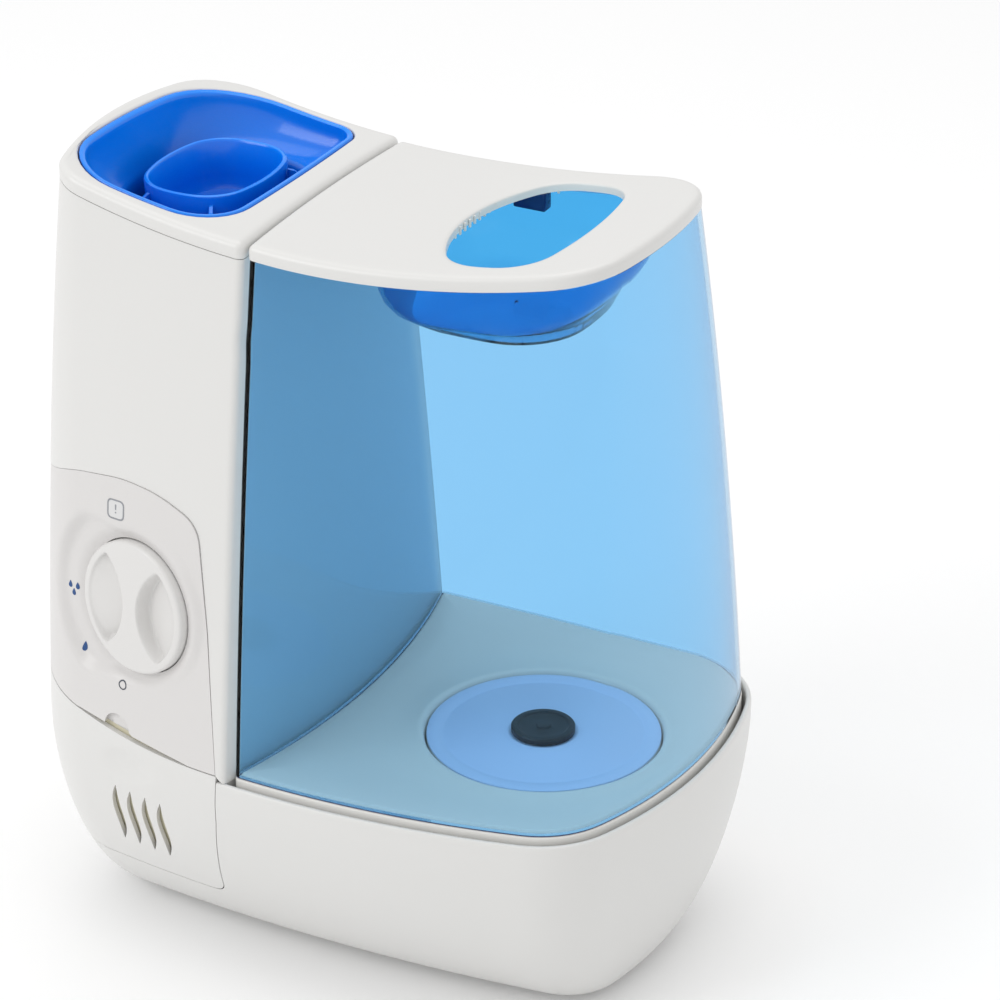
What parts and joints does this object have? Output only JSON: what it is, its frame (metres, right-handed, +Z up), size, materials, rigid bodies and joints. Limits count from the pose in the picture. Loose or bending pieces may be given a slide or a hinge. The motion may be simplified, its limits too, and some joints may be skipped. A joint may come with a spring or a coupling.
{
  "type": "humidifier",
  "caption": "Tall white humidifier: a steam tower with a control knob and a blue cup on top stands beside a lift-off clear water tank on a rounded reservoir base.",
  "frame": {"origin": "under the middle of the base, on the surface that the feet stand on", "axes": "+Z up, +X from the steam tower towards the water tank, -Y the side with the control knob"},
  "size_m": [0.2896, 0.192, 0.3447],
  "materials": {
    "white_body": "satin white moulding",
    "tray_white": "white moulding",
    "knob_white": "satin white moulding",
    "inner_white": "matt light grey moulding",
    "cup_blue": "glossy saturated blue",
    "tank_clear": "clear blue plastic",
    "catch_navy": "dark blue",
    "lens_grey": "frosted light grey",
    "lamp_amber": "amber lamp",
    "seal_grey": "soft seal",
    "foot_rubber": "matt rubber",
    "valve_black": "black rubber",
    "screw_steel": "zinc-plated steel",
    "spring_steel": "spring steel",
    "switch_metal": "turned steel",
    "switch_dark": "black moulding",
    "heater_metal": "cast aluminium",
    "tube_clear": "silicone tube"
  },
  "bodies": {
    "base": {"base_shell": "white_body", "base_plate": "white_body", "rubber_feet": "foot_rubber", "base_screws": "screw_steel", "water_tray": "tray_white", "tower_housing": "white_body", "tower_cap": "white_body", "steam_duct": "inner_white", "control_panel": "white_body", "rotary_switch": "switch_dark", "indicator_lens": "lens_grey", "indicator_lamp": "lamp_amber", "heating_chamber": "inner_white", "heater_gasket": "seal_grey", "heater_plate": "heater_metal", "thermostat": "switch_dark", "thermal_fuse": "inner_white", "inlet_tube": "tube_clear", "terminal_block": "inner_white", "cord_inlet": "switch_dark"},
    "vent_cover": {"vent_panel": "white_body"},
    "knob": {"control_knob": "knob_white", "knob_shaft": "switch_metal"},
    "latch": {"tray_latch": "cup_blue"},
    "cup": {"medicine_cup": "cup_blue"},
    "tank": {"tank_shell": "tank_clear", "tank_base": "tray_white", "tank_gasket": "seal_grey", "tank_lid": "white_body", "handle_pocket": "tank_clear", "handle_catch": "catch_navy"},
    "filler_cap": {"valve_cap": "tray_white", "cap_seal": "seal_grey", "valve_spring": "spring_steel"},
    "valve": {"valve_plunger": "tray_white", "valve_disc": "valve_black"}
  },
  "joints": [
    {"name": "vent_pull", "type": "slide", "parent": "base", "child": "vent_cover", "axis": [0, -1, 0], "range_m": [0, 0.07]},
    {"name": "knob_turn", "type": "hinge", "parent": "base", "child": "knob", "pos_m": [-0.073, -0.0832, 0.165], "axis": [-0.2535, -0.9648, 0.0698], "range_deg": [-90, 0]},
    {"name": "latch_slide", "type": "slide", "parent": "base", "child": "latch", "axis": [0, -1, 0], "range_m": [0, 0.008]},
    {"name": "cup_lift", "type": "slide", "parent": "base", "child": "cup", "axis": [0, 0, 1], "range_m": [0, 0.07]},
    {"name": "tank_lift", "type": "slide", "parent": "base", "child": "tank", "axis": [0, 0, 1], "range_m": [0, 0.3]},
    {"name": "cap_turn", "type": "hinge", "parent": "tank", "child": "filler_cap", "pos_m": [0.073, 0, 0.103], "axis": [0, 0, 1], "range_deg": [0, 90]},
    {"name": "valve_push", "type": "slide", "parent": "filler_cap", "child": "valve", "axis": [0, 0, 1], "range_m": [0, 0.004], "stiffness_N_per_m": 300, "deforming": ["valve_spring"]}
  ]
}
